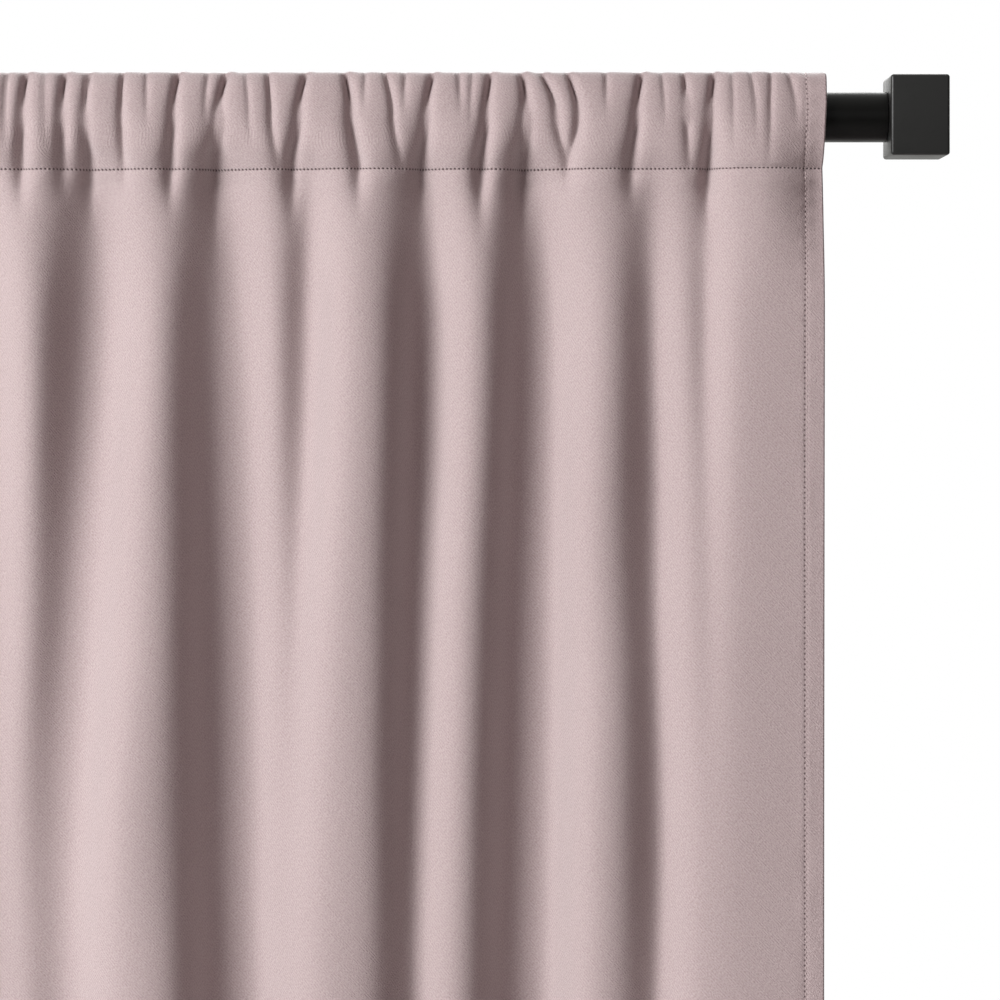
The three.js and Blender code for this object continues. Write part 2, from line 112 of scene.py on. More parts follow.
FOLD_DEPTH = 24 * MM  # of a full fold, before the rows are scaled
GATHER_DEPTH = 6 * MM  # of a full gather in the pocket
RIPPLE = 0.9 * MM  # of the cloth's slow unevenness
DEEPEST = 18 * MM  # no fold stands further than this from the mean
GATHER_REACH = 55 * MM  # below the stitch line, the length that counts as one pocket front
GATHERS_FADE = 34 * MM  # how fast the gathers die out below the stitch line
FOLDS_OPEN = 0.15  # metres below the stitch line where the folds are at their full depth
EDGE_CALM = 34 * MM  # the strip at each side where the folds are shallower

# ---------------------------------------------------------------- folds and gathers
# Distances in millimetres from the right panel's outer edge.

# A fold's valley: place at the stitch line, place 0.4 m lower, depth there and there, half width.
FOLDS = [
    (59, 56, 0.42, 0.10, 9),
    (87, 83, 0.60, 0.55, 13),
    (144, 149, 1.00, 1.00, 14),
    (200, 208, 0.75, 0.50, 12),
    (259, 268, 0.60, 0.12, 10),
    (301, 297, 1.00, 0.95, 14),
    (366, 384, 0.95, 0.62, 15),
    (424, 430, 0.70, 0.85, 13),
    (478, 474, 0.80, 0.55, 12),
    (531, 534, 1.00, 1.00, 14),
    (590, 598, 0.65, 0.80, 13),
    (645, 642, 0.90, 0.90, 13),
    (700, 704, 0.60, 0.55, 11),
]

# A crease in the pocket: place at the top, half way down and at the stitch line, depth, how far down it goes.
CREASES = [
    (20, 17, 14, 0.50, 0.6),
    (28, 29, 30, 0.35, 0.9),
    (38, 36, 35, 0.25, 0.7),
    (47, 47, 47, 0.20, 0.8),
    (56, 58, 59, 0.90, 1.6),
    (71, 70, 69, 0.55, 1.0),
    (82, 81, 80, 0.25, 0.6),
    (92, 95, 98, 0.90, 1.3),
    (110, 110, 111, 0.35, 0.5),
    (129, 124, 128, 0.75, 1.2),
    (142, 135, 130, 0.70, 1.1),
    (152, 150, 152, 1.00, 2.0),
    (168, 170, 173, 0.90, 1.6),
    (177, 178, 178, 0.25, 0.6),
    (184, 183, 183, 0.35, 0.5),
    (197, 200, 203, 0.85, 1.5),
    (211, 211, 211, 0.35, 0.5),
    (221, 217, 213, 0.50, 1.0),
    (231, 231, 231, 0.30, 0.5),
    (241, 238, 234, 0.90, 1.4),
    (261, 264, 268, 0.85, 1.5),
    (280, 278, 275, 0.55, 1.0),
    (291, 289, 286, 0.25, 0.8),
    (301, 304, 307, 0.90, 2.0),
    (310, 311, 312, 0.30, 0.6),
    (325, 327, 329, 0.85, 1.4),
    (341, 340, 340, 0.30, 0.6),
    (353, 353, 352, 0.60, 1.2),
    (370, 371, 370, 0.65, 1.6),
]


def more_creases(rng, start, end):
    """Creases for the rest of a panel, in the manner of the listed ones."""
    found = []
    place = start
    while place < end:
        strong = rng.random() < 0.5
        depth = rng.uniform(0.75, 1.0) if strong else rng.uniform(0.2, 0.5)
        lean = rng.uniform(-7, 7) if strong else rng.uniform(-2, 2)
        reach = rng.uniform(1.2, 2.0) if strong else rng.uniform(0.5, 0.9)
        found.append((place, place + lean * 0.5, place + lean, depth, reach))
        place += rng.uniform(9, 15) if strong else rng.uniform(7, 11)
    return found


def ease(t):
    t = np.clip(t, 0, 1)
    return t * t * (3 - 2 * t)


def dent(x, width):
    """A valley with a rounded floor and long shoulders, 1 deep at x = 0."""
    return (1 + (x / width) ** 2) ** -0.85


def fold_relief(place, below):
    """Wide folds of the hanging cloth, 0 on a crest. Below is the depth under the stitch line."""
    relief = np.zeros((len(below), len(place)))
    lower = ease(below / 0.4)
    for top, low, deep_top, deep_low, width in FOLDS:
        centre = (top + (low - top) * lower) * MM
        centre = centre + 3.5 * MM * np.sin(below * 4.2 + top) * ease((below - 0.35) / 0.5)
        depth = deep_top + (deep_low - deep_top) * lower
        depth = depth + 0.12 * np.sin(below * 2.3 + 1.7 * top) * ease((below - 0.4) / 0.5)
        wide = 1.35 * width * MM * (1 + 0.15 * lower)
        relief -= depth[:, None] * dent(place[None, :] - centre[:, None], wide[:, None])
    return relief


def crown_bumps(creases, place):
    """Small ridges the gathers raise along the pocket's top edge, between 0 and 1."""
    bumps = np.zeros(len(place))
    for top, _, _, depth, _ in creases:
        bumps += depth**1.5 * np.exp(-(((place - (top - 1.6) * MM) / (3.0 * MM)) ** 2))
    return bumps


def crease_relief(creases, place, down):
    """Gathers, 0 on a crest. Down is 0 over the rod, 1 at the stitch line, and more below it."""
    relief = np.zeros((len(down), len(place)))
    half = ease(down / 0.5)
    full = ease((down - 0.5) / 0.5)
    for top, mid, low, depth, reach in creases:
        centre = (top + (mid - top) * half + (low - mid) * full) * MM
        peak = 0.7 + 0.3 * ease(down / 0.3)
        fade = 1 - ease((down - 0.25 * reach) / (0.9 * reach))
        width = (1.1 + 0.45 * depth + 2.8 * depth * ease(down - 0.2)) * MM
        here = depth * peak * fade
        relief -= here[:, None] * dent(place[None, :] - centre[:, None], width[:, None])
    return relief


# ---------------------------------------------------------------- the path of the cloth round the rod


def ellipse(start, end, count):
    """Points (forward, up) on the pocket's round part. 0 is over the rod, 90 in front of it, -90 behind."""
    a = np.radians(np.linspace(start, end, count))
    return np.stack([POCKET_DEPTH * np.sin(a), POCKET_CROWN * np.cos(a)], 1)


def curve(a, b, c, count):
    t = np.linspace(0, 1, count)[:, None]
    return (1 - t) ** 2 * np.array(a) + 2 * t * (1 - t) * np.array(b) + t**2 * np.array(c)


def spaced(points, step):
    """Points about step apart along a line, ends kept."""
    length = np.r_[0, np.cumsum(np.linalg.norm(np.diff(points, axis=0), axis=1))]
    at = np.linspace(0, length[-1], max(2, round(length[-1] / step) + 1))
    return np.stack([np.interp(at, length, points[:, i]) for i in range(points.shape[1])], 1)


def joined(parts):
    return np.concatenate([parts[0]] + [p[1:] for p in parts[1:]])


def pocket_path():
    """(forward, up) from the back layer's lower edge to the stitch line in front, and each stretch's end."""
    seam = (STITCH_FORWARD - LAYER_GAP, STITCH_Z)
    low = 14 * MM
    side = POCKET_DEPTH + 0.7 * MM
    back = curve(seam, (-side + 1.5 * MM, -low - 4 * MM), (-POCKET_DEPTH, 0), 200)
    under = back[back[:, 1] <= -SLIT_UP]
    front = curve((POCKET_DEPTH, 0), (side, -low), (STITCH_FORWARD, STITCH_Z), 120)
    slit_angle = math.degrees(math.acos(SLIT_UP / POCKET_CROWN))
    parts = [
        spaced(np.array([(seam[0], STITCH_Z - SEAM_ALLOWANCE), seam]), 1 * MM),
        spaced(joined([np.array([seam, seam]), under, np.array([under[-1], under[-1]])]), 2 * MM),
        spaced(joined([back[len(under) - 1 :], ellipse(-90, -slit_angle, 60)]), 2.4 * MM),
        spaced(ellipse(-slit_angle, 0, 60), 2 * MM),
        spaced(joined([ellipse(0, 90, 80), front]), 1.9 * MM),
    ]
    ends = np.cumsum([len(parts[0])] + [len(p) - 1 for p in parts[1:]]) - 1
    return joined(parts), ends


def body_path():
    """(forward, up) from just below the stitch line to the bottom edge."""
    z = STITCH_Z
    step = 0.8 * MM
    points = []
    while z - step > HEM_TOP_Z:
        z -= step
        points.append(z)
        step = min(step * 1.07, 22 * MM)
    points.append(HEM_TOP_Z)
    points += list(np.linspace(HEM_TOP_Z, BOTTOM_Z, 8)[1:])
    points = np.array(points)
    forward = STITCH_FORWARD * np.exp((points - STITCH_Z) / 0.25)
    return np.stack([forward, points], 1)


# ---------------------------------------------------------------- the panel's surface


def column_places():
    """Distances from the outer edge, with the hems, the slit and the sections' ends among them."""
    slit_end = OUTER_EDGE - BRACKET_X + SLIT_HALF
    marks = [0, SIDE_HEM, slit_end - 2 * SLIT_HALF, slit_end, PANEL_WIDTH / 2]
    marks += [PANEL_WIDTH - SIDE_HEM, PANEL_WIDTH]
    steps = [0.9, 1.0, 1.0, 1.1, 1.6, 0.9]
    parts = [np.linspace(a, b, round((b - a) / (s * MM)) + 1) for a, b, s in zip(marks, marks[1:], steps)]
    return np.concatenate([parts[0]] + [p[1:] for p in parts[1:]])


def row_lengths(points):
    """Arc length along each row, from its first column."""
    step = np.linalg.norm(np.diff(points, axis=1), axis=2)
    return np.concatenate([np.zeros((len(points), 1)), np.cumsum(step, 1)], 1)


def fullness(relief, place):
    """How much longer each row is than it is wide."""
    rise = np.diff(relief, axis=1)
    return np.sqrt(rise**2 + np.diff(place)[None, :] ** 2).sum(1) / (place[-1] - place[0])


def scaled_to_fullness(relief, place, wanted):
    """Each row's relief, scaled until the row is as full as the flat cloth needs."""
    low = np.zeros(len(relief))
    high = np.full(len(relief), 4.0)
    for _ in range(24):
        mid = (low + high) / 2
        short = fullness(relief * mid[:, None], place) < wanted
        low = np.where(short, mid, low)
        high = np.where(short, high, mid)
    return relief * high[:, None]


def soft_floor(value, floor, width):
    return floor + width * np.logaddexp(0, (value - floor) / width)


def ripples(place, along, rng):
    """Small slow unevenness, between -1 and 1."""
    total = 0
    for _ in range(9):
        a, b = rng.uniform(25, 110), rng.uniform(4, 16)
        p, q = rng.uniform(0, 6.28, 2)
        across = np.sin(a * place[None, :] + p + 2 * np.sin(along * b)[:, None])
        total = total + across * np.sin(b * along + q)[:, None]
    return total / 4.5


class Panel:
    """One panel's middle surface on a grid, with its normals and cloth coordinates."""

    def __init__(self, side, seed):
        self.side = side
        rng = np.random.default_rng(seed)
        self.place = column_places()
        self.inward = np.minimum(self.place, self.place[-1] - self.place)
        pattern = self.eased_to_edges()
        self.pattern = pattern if side == "right" else PANEL_WIDTH - pattern
        self.creases = CREASES + more_creases(rng, 382, PANEL_WIDTH / MM - 14)
        self.measure_path()
        relief = self.held_in(self.folded_relief(rng))
        relief = self.kept_off_rod(self.flat_over_rod(relief))
        relief = self.joined_at_seam(relief) - self.stitch_dents()
        self.points = self.placed(relief)
        self.normals = self.surface_normals()
        lengths = row_lengths(self.points)
        across = lengths * (FLAT_WIDTH / lengths[:, -1:])
        self.across = -across if side == "right" else across

    def eased_to_edges(self):
        """Distances at which the folds are read, so that they run out flat at the panel's two edges."""
        run_out = 9 * MM
        start = self.place
        end = self.place[-1] - self.place
        return start + (np.hypot(start, run_out) - start) - (np.hypot(end, run_out) - end)

    def measure_path(self):
        """The cloth's path round the rod and down, and how far along it each row is."""
        pocket, ends = pocket_path()
        self.seam, self.slit_low, self.slit_high, self.top, self.stitch = ends
        self.path = np.concatenate([pocket, body_path()])
        self.rows = np.arange(len(self.path))
        along = np.r_[0, np.cumsum(np.linalg.norm(np.diff(self.path, axis=0), axis=1))]
        self.along = along - along[self.stitch]
        self.from_top = along - along[self.top]
        self.front = np.clip(self.from_top / self.from_top[self.stitch], 0, 1)
        self.behind = np.clip(self.from_top / self.from_top[self.seam], 0, 1)
        self.below = np.clip(STITCH_Z - self.path[:, 1], 0, None) * (self.rows >= self.stitch)
        self.in_pocket = self.rows < self.stitch

    def folded_relief(self, rng):
        """Folds and gathers, scaled until each row is as full as wanted."""
        back = []
        for top, _, _, depth, _ in self.creases:
            back.append((top, top + rng.uniform(-4, 4), top + rng.uniform(-8, 8), depth, 2.0))
        gathers = crease_relief(self.creases, self.pattern, self.front + self.below / GATHER_REACH)
        gathers[: self.top] = crease_relief(back, self.pattern, self.behind)[: self.top]
        hang = ease(self.below / FOLDS_OPEN)
        fold = 0.03 + 0.24 * ease((self.front - 0.25) / 0.75) + 0.73 * hang
        gather = np.where(self.in_pocket, 1.0, np.exp(-self.below / GATHERS_FADE))
        relief = FOLD_DEPTH * fold[:, None] * fold_relief(self.pattern, self.below)
        relief = relief + GATHER_DEPTH * gather[:, None] * gathers
        relief = relief + RIPPLE * ripples(self.pattern, self.along, rng) * (0.25 + hang)[:, None]
        wanted = POCKET_FULLNESS + (FOLD_FULLNESS - POCKET_FULLNESS) * hang
        return scaled_to_fullness(relief, self.place, wanted)

    def held_in(self, relief):
        """The relief about its mean, smaller near the panel's edges, its deepest folds held in."""
        relief = relief - relief.mean(1, keepdims=True)
        self.inside = ease(self.place / EDGE_CALM) * ease((self.place[-1] - self.place) / EDGE_CALM)
        loose = np.where(self.in_pocket, 0.25, 0.25 + 0.75 * ease(self.below / (90 * MM)))
        relief = relief * (1 - (1 - loose[:, None]) * (1 - self.inside[None, :]))
        return DEEPEST * np.tanh(relief / DEEPEST)

    def flat_over_rod(self, relief):
        """The relief flattened over the rod, where the gathers only raise small ridges."""
        over_rod = np.exp(-((self.from_top / (4.5 * MM)) ** 2))
        ridges = crown_bumps(self.creases, self.pattern) * self.inside
        puffed = ease(-self.along / (14 * MM)) * (self.rows <= self.stitch)
        relief = relief * (1 - 0.9 * over_rod)[:, None] + (1.2 * MM * puffed)[:, None]
        return relief + 1.1 * MM * over_rod[:, None] * ridges[None, :]

    def kept_off_rod(self, relief):
        """The relief raised where the cloth would go into the rod or the bracket's cradle."""
        forward, up = self.path[:, 0], self.path[:, 1]
        floor = np.repeat((ROD_RADIUS + 0.9 * MM - np.hypot(forward, up))[:, None], len(self.place), 1)
        near_rod = self.rows < self.stitch - 4
        in_hem = self.inward < SIDE_HEM + 2 * MM
        floor = np.where(near_rod[:, None] & in_hem[None, :], floor + HEM_STEP, floor)
        from_bracket = self.place - (OUTER_EDGE - BRACKET_X)
        cradle = np.exp(-((from_bracket / (CRADLE_HALF + 6 * MM)) ** 4))
        room = CRADLE_FRONT - ROD_RADIUS + 0.5 * MM
        near_cradle = near_rod & (up < 12.5 * MM) & (up > -21 * MM)
        floor = floor + np.where(near_cradle, room, 0)[:, None] * cradle[None, :]
        return np.where(self.in_pocket[:, None], soft_floor(relief, floor, 0.5 * MM), relief)

    def joined_at_seam(self, relief):
        """The back layer brought to the front layer's shape where the two are sewn together."""
        from_seam = self.along - self.along[self.seam]
        join = ease((20 * MM - from_seam) / (18 * MM)) * (self.rows <= self.top)
        relief = relief * (1 - join)[:, None] - relief[self.stitch][None, :] * join[:, None]
        gap = 2 * HEM_STEP * np.clip(1 - (self.inward - SIDE_HEM) / (6 * MM), 0, 1)
        return relief + join[:, None] * gap[None, :]

    def stitch_dents(self):
        """How deep the thread pulls the cloth in along its stitch lines, with puckers between stitches."""
        from_line = np.where(self.rows > self.top, self.path[:, 1] - STITCH_Z, 1)
        dents = 0.26 * MM * np.exp(-((from_line / (1.3 * MM)) ** 2))[:, None]
        line = np.exp(-(((self.inward - SIDE_STITCH) / (1.1 * MM)) ** 2))
        wide = np.exp(-(((self.inward - SIDE_STITCH) / (4 * MM)) ** 2))
        pucker = 0.22 * MM * np.sin(self.along / (1.9 * MM) + 3 * np.sin(self.along / (23 * MM)))
        dents = dents + 0.35 * MM * line[None, :] + wide[None, :] * pucker[:, None]
        from_hem_line = self.path[:, 1] - HEM_TOP_Z + BOTTOM_STITCH
        hem_line = np.exp(-((from_hem_line / (2.5 * MM)) ** 2)) * (self.rows > self.stitch)
        return dents + 0.4 * MM * hem_line[:, None]

    def placed(self, relief):
        """Points in the frame: the path moved out by the relief, and the panel's edges bowed a little."""
        ahead = np.where(self.rows <= self.stitch, self.front, 1 + self.below / (20 * MM))
        level = np.where(self.rows < self.top, self.behind, ahead)
        bow = np.interp(level, [0, 0.4, 1, 2], [0.6, -0.3, -2.2, -1.9]) - 0.8 * ease(self.behind / 0.3)
        start = np.exp(-self.place / (12 * MM))
        end = np.exp((self.place - self.place[-1]) / (12 * MM))
        x = OUTER_EDGE - self.place[None, :] + (bow * MM)[:, None] * (start - end)[None, :]
        x = x if self.side == "right" else -x
        normal = self.path_normals()
        y = ROD_Y - (self.path[:, 0][:, None] + relief * normal[:, 0][:, None])
        z = ROD_Z + self.path[:, 1][:, None] + relief * normal[:, 1][:, None]
        return np.stack([x, self.kept_behind(y, z), z], 2)

    def path_normals(self):
        """Outward normals (forward, up) of the path, turned to the room at the stitch line."""
        tangent = np.gradient(self.path, axis=0)
        normal = np.stack([-tangent[:, 1], tangent[:, 0]], 1)
        normal /= np.linalg.norm(normal, axis=1, keepdims=True)
        from_seam = self.along - self.along[self.seam]
        front = ease(1 + self.along / (9 * MM)) * (self.rows > self.top)
        back = ease(1 - from_seam / (9 * MM)) * (self.rows < self.top)
        normal = normal * (1 - front - back)[:, None]
        normal[:, 0] += front - back
        return normal / np.linalg.norm(normal, axis=1, keepdims=True)

    def kept_behind(self, y, z):
        """The back layer's y, kept behind the front layer's where the two come together at their stitches."""
        front = slice(self.top, self.stitch + 1)
        kept = y.copy()
        for c in range(y.shape[1]):
            front_z, front_y = z[front, c][::-1], y[front, c][::-1]
            ahead = np.interp(z[: self.top, c], front_z, front_y)
            low = z[: self.top, c] < ROD_Z - 9 * MM
            low[: self.seam + 1] = False
            moved = np.maximum(y[: self.top, c], ahead + LAYER_GAP)
            kept[: self.top, c] = np.where(low, moved, y[: self.top, c])
        return kept

    def surface_normals(self):
        across = np.gradient(self.points, axis=1)
        down = np.gradient(self.points, axis=0)
        normal = np.cross(across, down) if self.side == "right" else np.cross(down, across)
        return normal / np.linalg.norm(normal, axis=2, keepdims=True)

    def row_folds(self):
        """(grid row, step behind in hem steps, turn in degrees) down the cloth and up its bottom hem."""
        last = len(self.path) - 1
        top = int(np.argmin(np.abs(self.path[:, 1] - HEM_TOP_Z) + (np.arange(last + 1) < self.stitch)))
        rows = [(r, 0, 0) for r in range(last + 1)] + [(last, 0.5, 90)]
        return rows + [(r, 1, 180) for r in range(last, top - 1, -1)]

    def column_folds(self, start, end):
        """The same across a section from one grid column to another, with the side hems' turned layers."""
        last = len(self.place) - 1
        hem = int(np.argmin(np.abs(self.place - SIDE_HEM)))
        other = int(np.argmin(np.abs(self.place - (PANEL_WIDTH - SIDE_HEM))))
        columns = [(c, 0, 0) for c in range(start, end + 1)]
        if start == 0:
            columns = [(c, 1, -180) for c in range(hem, -1, -1)] + [(0, 0.5, -90)] + columns
        if end == last:
            columns += [(last, 0.5, 90)] + [(c, 1, 180) for c in range(last, other - 1, -1)]
        return columns

    def grid(self, start, end):
        """Middle points, facing, cloth coordinates and face mask of one section."""
        rows = np.array(self.row_folds(), float)
        columns = np.array(self.column_folds(start, end), float)
        r, c = rows[:, 0].astype(int), columns[:, 0].astype(int)
        points, facing = self.layers(rows, columns, r, c)
        return points, facing, self.cloth_places(columns, r, c), self.face_mask(r, c)

    def layers(self, rows, columns, r, c):
        """Points and facing of the front layer and of the hems' turned layers behind it."""
        points = self.points[np.ix_(r, c)]
        normals = self.normals[np.ix_(r, c)]
        turn_r, turn_c = np.radians(rows[:, 2])[:, None], np.radians(columns[:, 2])[None, :]
        out = np.array([1.0 if self.side == "right" else -1.0, 0, 0])
        edge = -np.sin(turn_c)[..., None] * out
        under = np.sin(turn_r)[..., None] * np.array([0, 0, -1.0])
        corner = np.clip(1 - (self.inward[c] - SIDE_HEM) / (5 * MM), 0, 1)
        behind = rows[:, 1][:, None] * (1 + 2 * corner)[None, :] + np.cos(turn_r) * columns[:, 1][None, :]
        points = points - normals * (behind * HEM_STEP)[..., None]
        points = points + 0.5 * HEM_STEP * (edge + under)
        facing = normals * (np.cos(turn_r) * np.cos(turn_c))[..., None]
        facing = facing + under * np.cos(turn_c)[..., None] + edge * np.cos(turn_r)[..., None]
        facing = facing + 0.5 * under * np.abs(np.sin(turn_c))[..., None]
        facing = facing + 0.5 * edge * np.abs(np.sin(turn_r))[..., None]
        return points, facing / np.linalg.norm(facing, axis=2, keepdims=True)

    def cloth_places(self, columns, r, c):
        """(across, along) on the flat cloth. A turned layer goes on past its fold."""
        steps = np.abs(np.diff(self.along[r])) + HEM_STEP * (np.diff(r) == 0)
        along = np.r_[0, np.cumsum(steps)] + self.along[r[0]]
        v = np.repeat(along[:, None], len(c), 1)
        sign = -1 if self.side == "right" else 1
        past_fold = sign * HEM_STEP * columns[None, :, 1]
        u = self.across[np.ix_(r, c)]
        near = 2 * self.across[np.ix_(r, [0])] - u
        far = 2 * self.across[np.ix_(r, [-1])] - u
        u = np.where(columns[None, :, 2] < 0, near - past_fold, u)
        u = np.where(columns[None, :, 2] > 0, far + past_fold, u)
        return np.stack([u, v], 2)

    def face_mask(self, r, c):
        """True where the grid has faces: everywhere but in the slit for the bracket's arm."""
        low, high = OUTER_EDGE - BRACKET_X - SLIT_HALF, OUTER_EDGE - BRACKET_X + SLIT_HALF
        middle = (self.place[c][1:] + self.place[c][:-1]) / 2
        slit_c = (middle > low) & (middle < high)
        rows_at = np.arange(len(r) - 1)
        slit_r = (rows_at >= self.slit_low) & (rows_at < self.slit_high)
        return ~(slit_r[:, None] & slit_c[None, :])


# ---------------------------------------------------------------- meshes


def mesh_object(name, points, faces):
    mesh = bpy.data.meshes.new(name)
    mesh.from_pydata(points.tolist(), [], faces)
    made = bpy.data.objects.new(name, mesh)
    bpy.context.scene.collection.objects.link(made)
    return made


def sheet_object(name, points, facing, cloth, mask, flip):
    """A closed sheet of cloth from a grid: a right side, a wrong side and a rim round every edge."""
    right = (points + facing * CLOTH / 2).reshape(-1, 3)
    wrong = (points - facing * CLOTH / 2).reshape(-1, 3)
    count = len(right)
    index = np.arange(count).reshape(points.shape[:2])
    a, b, c, d = index[:-1, :-1][mask], index[:-1, 1:][mask], index[1:, 1:][mask], index[1:, :-1][mask]
    quads = np.stack([a, b, c, d] if flip else [a, d, c, b], 1)
    rims = rim_faces(index, mask, count, flip)
    quads = np.concatenate([quads, quads[:, ::-1] + count, rims])
    used, compact = np.unique(quads, return_inverse=True)
    both = np.concatenate([right, wrong])
    made = mesh_object(name, both[used], compact.reshape(quads.shape).tolist())
    made.data.polygons.foreach_set("use_smooth", np.ones(len(quads), bool))

    flat_uv = np.concatenate([cloth.reshape(-1, 2)] * 2)[quads.ravel()]
    bake = bake_places(cloth, quads, len(rims))
    for layer, places in (("UVMap", flat_uv), ("OFBake", bake)):
        uv = made.data.uv_layers.new(name=layer)
        uv.data.foreach_set("uv", places.astype(np.float32).ravel())

    normals = np.concatenate([facing.reshape(-1, 3), -facing.reshape(-1, 3)])[quads.ravel()].reshape(-1, 4, 3)
    corner = both[rims]
    rim_normal = np.cross(corner[:, 2] - corner[:, 0], corner[:, 3] - corner[:, 1])
    rim_normal /= np.linalg.norm(rim_normal, axis=1, keepdims=True) + 1e-12
    normals[-len(rims) :] = rim_normal[:, None, :]
    made.data.normals_split_custom_set(normals.reshape(-1, 3).tolist())
    return made


def rim_faces(index, mask, count, flip):
    """Faces that close a sheet along its outline and round the openings in its mask."""
    padded = np.pad(mask, 1)
    above, below = padded[:-1, 1:-1], padded[1:, 1:-1]
    after, before = padded[1:-1, :-1], padded[1:-1, 1:]
    runs = [
        (below & ~above, index[:, :-1], index[:, 1:]),
        (above & ~below, index[:, 1:], index[:, :-1]),
        (after & ~before, index[:-1, :], index[1:, :]),
        (before & ~after, index[1:, :], index[:-1, :]),
    ]
    rims = []
    for here, first, second in runs:
        p, q = (second[here], first[here]) if flip else (first[here], second[here])
        rims.append(np.stack([p, q, q + count, p + count], 1))
    return np.concatenate(rims)


def bake_places(cloth, quads, rim_count):
    """A layout in the unit square: the right side in its upper half, the wrong side in its lower half."""
    high, wide = cloth.shape[:2]
    across = np.abs(np.diff(cloth[high // 2, :, 0])) + 1e-5
    down = np.abs(np.diff(cloth[:, wide // 2, 1])) + 1e-5
    a = np.r_[0, np.cumsum(across)]
    b = np.r_[0, np.cumsum(down)]
    u = np.repeat((0.01 + 0.98 * a / a[-1])[None, :], high, 0)
    v = np.repeat((0.01 + 0.48 * b / b[-1])[:, None], wide, 1)
    upper = np.stack([u, v + 0.5], 2).reshape(-1, 2)
    lower = np.stack([u, v], 2).reshape(-1, 2)
    places = np.concatenate([upper, lower])[quads]
    rims = places[-rim_count:]
    rims[:, 2] = rims[:, 1] + (0.0, 0.001)
    rims[:, 3] = rims[:, 0] + (0.001, 0.001)
    return places.reshape(-1, 2)


def stitches(name, points, normals, length, pitch, skew):
    """Thread on the cloth along a line of points: one short bead at each whole pitch of the cloth."""
    at = pitch * np.arange(math.ceil(length[0] / pitch + 0.3), length[-1] / pitch - 0.3)

    def sampled(values, where):
        return np.stack([np.interp(where, length, values[:, i]) for i in range(3)], 1)

    out = sampled(normals, at)
    ahead = sampled(points, at + pitch * 0.3) - sampled(points, at - pitch * 0.3)
    ahead /= np.linalg.norm(ahead, axis=1, keepdims=True)
    beside = np.cross(out, ahead)
    centre = sampled(points, at)
    sides = 6
    beads = []
    for go, lift, radius in BEAD:
        middle = centre + ahead * (go * pitch) + out * (lift * MM) + beside * (go * skew * pitch)
        for k in range(sides):
            angle = 2 * math.pi * k / sides
            beads.append(middle + (out * math.cos(angle) + beside * math.sin(angle)) * radius * MM)
    per = len(BEAD) * sides
    vertices = np.stack(beads, 1).reshape(-1, 3)
    one = []
    for i in range(len(BEAD) - 1):
        for k in range(sides):
            m = (k + 1) % sides
            one.append((i * sides + k, i * sides + m, (i + 1) * sides + m, (i + 1) * sides + k))
    quads = (np.array(one)[None] + per * np.arange(len(at))[:, None, None]).reshape(-1, 4)
    caps = [np.arange(sides)[::-1], per - sides + np.arange(sides)]
    ends = (np.array(caps)[None] + per * np.arange(len(at))[:, None, None]).reshape(-1, sides)
    made = mesh_object(name, vertices, quads.tolist() + ends.tolist())
    made.data.polygons.foreach_set("use_smooth", np.ones(len(made.data.polygons), bool))
    return made


def joined_objects(name, objects):
    """One mesh object from several."""
    vertices, faces, shift = [], [], 0
    for o in objects:
        vertices += [tuple(v.co) for v in o.data.vertices]
        faces += [tuple(i + shift for i in p.vertices) for p in o.data.polygons]
        shift += len(o.data.vertices)
        bpy.data.objects.remove(o)
    made = mesh_object(name, np.array(vertices), faces)
    made.data.polygons.foreach_set("use_smooth", np.ones(len(faces), bool))
    return made


# ---------------------------------------------------------------- materials


class Nodes:
    """Short calls for adding nodes to a tree."""

    def __init__(self, tree):
        self.tree = tree

    def add(self, kind, inputs=None, **settings):
        node = self.tree.nodes.new(kind)
        for key, value in settings.items():
            setattr(node, key, value)
        for key, value in (inputs or {}).items():
            self.put(node.inputs[key], value)
        return node

    def put(self, socket, value):
        if isinstance(value, bpy.types.NodeSocket):
            self.tree.links.new(value, socket)
        else:
            socket.default_value = value

    def math(self, operation, a, b=0.0, c=0.0):
        return self.add("ShaderNodeMath", {0: a, 1: b, 2: c}, operation=operation).outputs[0]

    def distance(self, a, b):
        """How far a point is from another, from its distances in two directions."""
        return self.math("SQRT", self.math("ADD", self.math("POWER", a, 2.0), self.math("POWER", b, 2.0)))

    def noise(self, vector, scale, detail=2.0):
        inputs = {"Vector": vector, "Scale": scale, "Detail": detail}
        return self.add("ShaderNodeTexNoise", inputs).outputs["Fac"]

    def mix(self, factor, a, b):
        node = self.add("ShaderNodeMix", data_type="RGBA")
        self.put(node.inputs[0], factor)
        self.put(node.inputs[6], a)
        self.put(node.inputs[7], b)
        return node.outputs[2]

    def ramp(self, value, low, high, a=0.0, b=1.0):
        inputs = {"Value": value, "From Min": low, "From Max": high, "To Min": a, "To Max": b}
        return self.add("ShaderNodeMapRange", inputs).outputs[0]

    def bump(self, height, strength, distance):
        inputs = {"Height": height, "Strength": strength, "Distance": distance}
        return self.add("ShaderNodeBump", inputs).outputs[0]


class Finish(Nodes):
    """A new material. Values given as numbers are set on the shader's own sockets."""

    def __init__(self, name):
        self.material = bpy.data.materials.new(name)
        self.material.use_nodes = True
        super().__init__(self.material.node_tree)
        self.shader = self.tree.nodes["Principled BSDF"]

    def set(self, **values):
        for key, value in values.items():
            self.put(self.shader.inputs[key.replace("_", " ")], value)

    def place(self):
        return self.add("ShaderNodeTexCoord").outputs["Object"]


